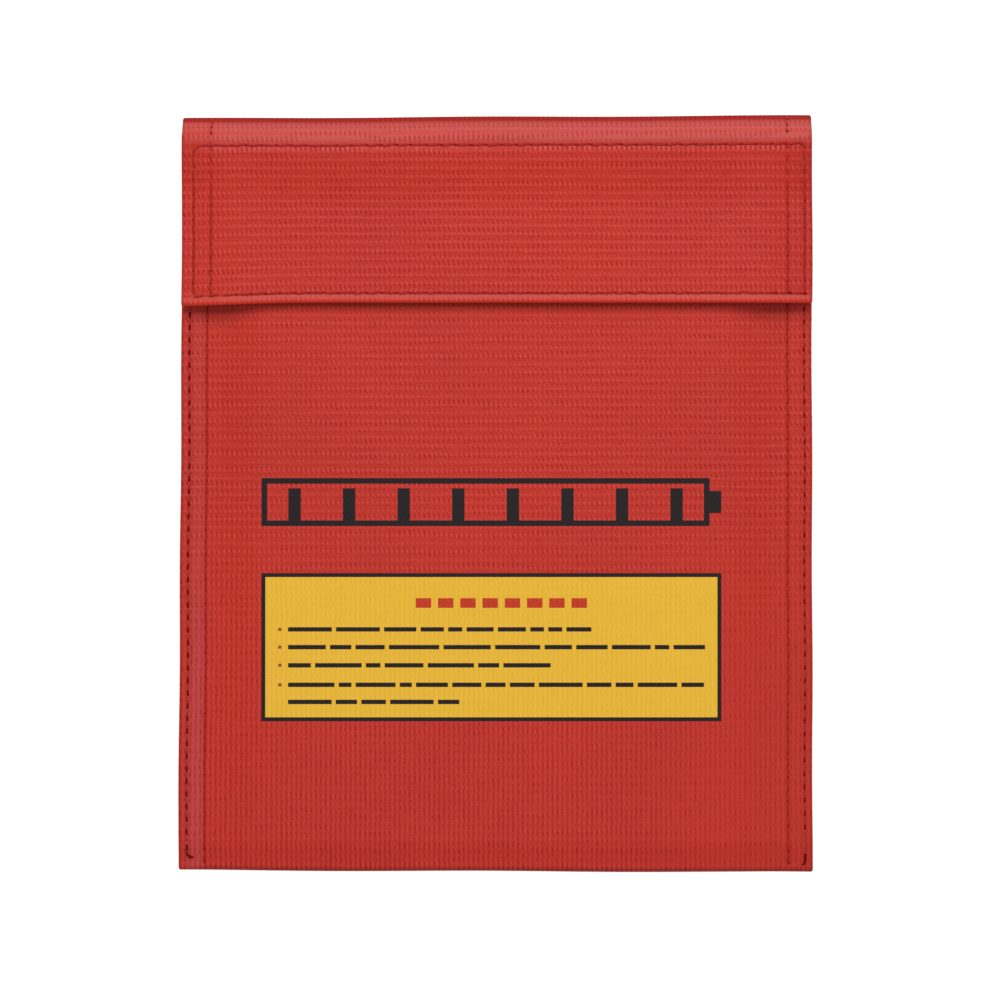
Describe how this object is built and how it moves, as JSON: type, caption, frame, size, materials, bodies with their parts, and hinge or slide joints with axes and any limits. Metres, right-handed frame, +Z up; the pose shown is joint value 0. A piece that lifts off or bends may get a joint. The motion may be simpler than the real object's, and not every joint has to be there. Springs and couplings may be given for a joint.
{
  "type": "battery charging pouch",
  "caption": "Flat rectangular fire-resistant cloth pouch with sewn sides, a fold-over flap and a hook-and-loop closure, for charging model batteries in.",
  "frame": {"origin": "on the surface the pouch lies on, under the middle of its outline", "axes": "+X to the right across the front, +Y from the bottom fold to the top fold, +Z up out of the front"},
  "size_m": [0.184, 0.22, 0.01],
  "materials": {
    "red_cloth": "red coated plain-weave glass cloth, satin, with the weave showing through the coating",
    "inner_cloth": "uncoated off-white glass cloth on the inside of the pouch",
    "red_thread": "dark red twisted sewing thread, matt",
    "hook_tape": "black woven tape with stiff moulded hooks",
    "loop_tape": "black woven tape with a napped loop pile",
    "label_yellow": "yellow screen print on the red cloth, satin",
    "print_black": "black screen print on the red cloth, satin"
  },
  "bodies": {
    "pouch": {"back_panel": "red_cloth", "bottom_fold": "red_cloth", "left_back_hem": "red_cloth", "right_back_hem": "red_cloth", "left_front_hem": "red_cloth", "right_front_hem": "red_cloth", "left_front_margin": "red_cloth", "right_front_margin": "red_cloth", "left_side_seam_thread": "red_thread", "right_side_seam_thread": "red_thread", "left_hem_thread": "red_thread", "right_hem_thread": "red_thread"},
    "front": {"front_panel": "red_cloth", "loop_tape": "loop_tape", "loop_tape_thread": "red_thread", "printed_label": "label_yellow", "label_border": "print_black", "title_symbol": "print_black"},
    "fold": {"flap_fold_band": "red_cloth", "left_fold_hem": "red_cloth", "right_fold_hem": "red_cloth"},
    "flap": {"flap_panel": "red_cloth", "flap_left_hem": "red_cloth", "flap_right_hem": "red_cloth", "flap_edge_hem": "red_cloth", "hook_tape": "hook_tape", "hook_tape_thread": "red_thread", "flap_left_hem_thread": "red_thread", "flap_right_hem_thread": "red_thread"}
  },
  "joints": [
    {"name": "flap_fold", "type": "hinge", "parent": "pouch", "child": "fold", "pos_m": [0, 0.10975, 0.00025], "axis": [-1, 0, 0], "range_deg": [0, 122.2]},
    {"name": "flap_bend", "type": "hinge", "parent": "fold", "child": "flap", "pos_m": [0, 0.104, 0.00935], "axis": [-1, 0, 0], "range_deg": [0, 57.7]},
    {"name": "mouth_gape", "type": "hinge", "parent": "pouch", "child": "front", "pos_m": [0, -0.11, 0.0027], "axis": [1, 0, 0], "range_deg": [0, 5]}
  ],
  "couplings": [
    {"joint": "mouth_gape", "follows": "flap_fold", "ratio": 0.0408}
  ]
}
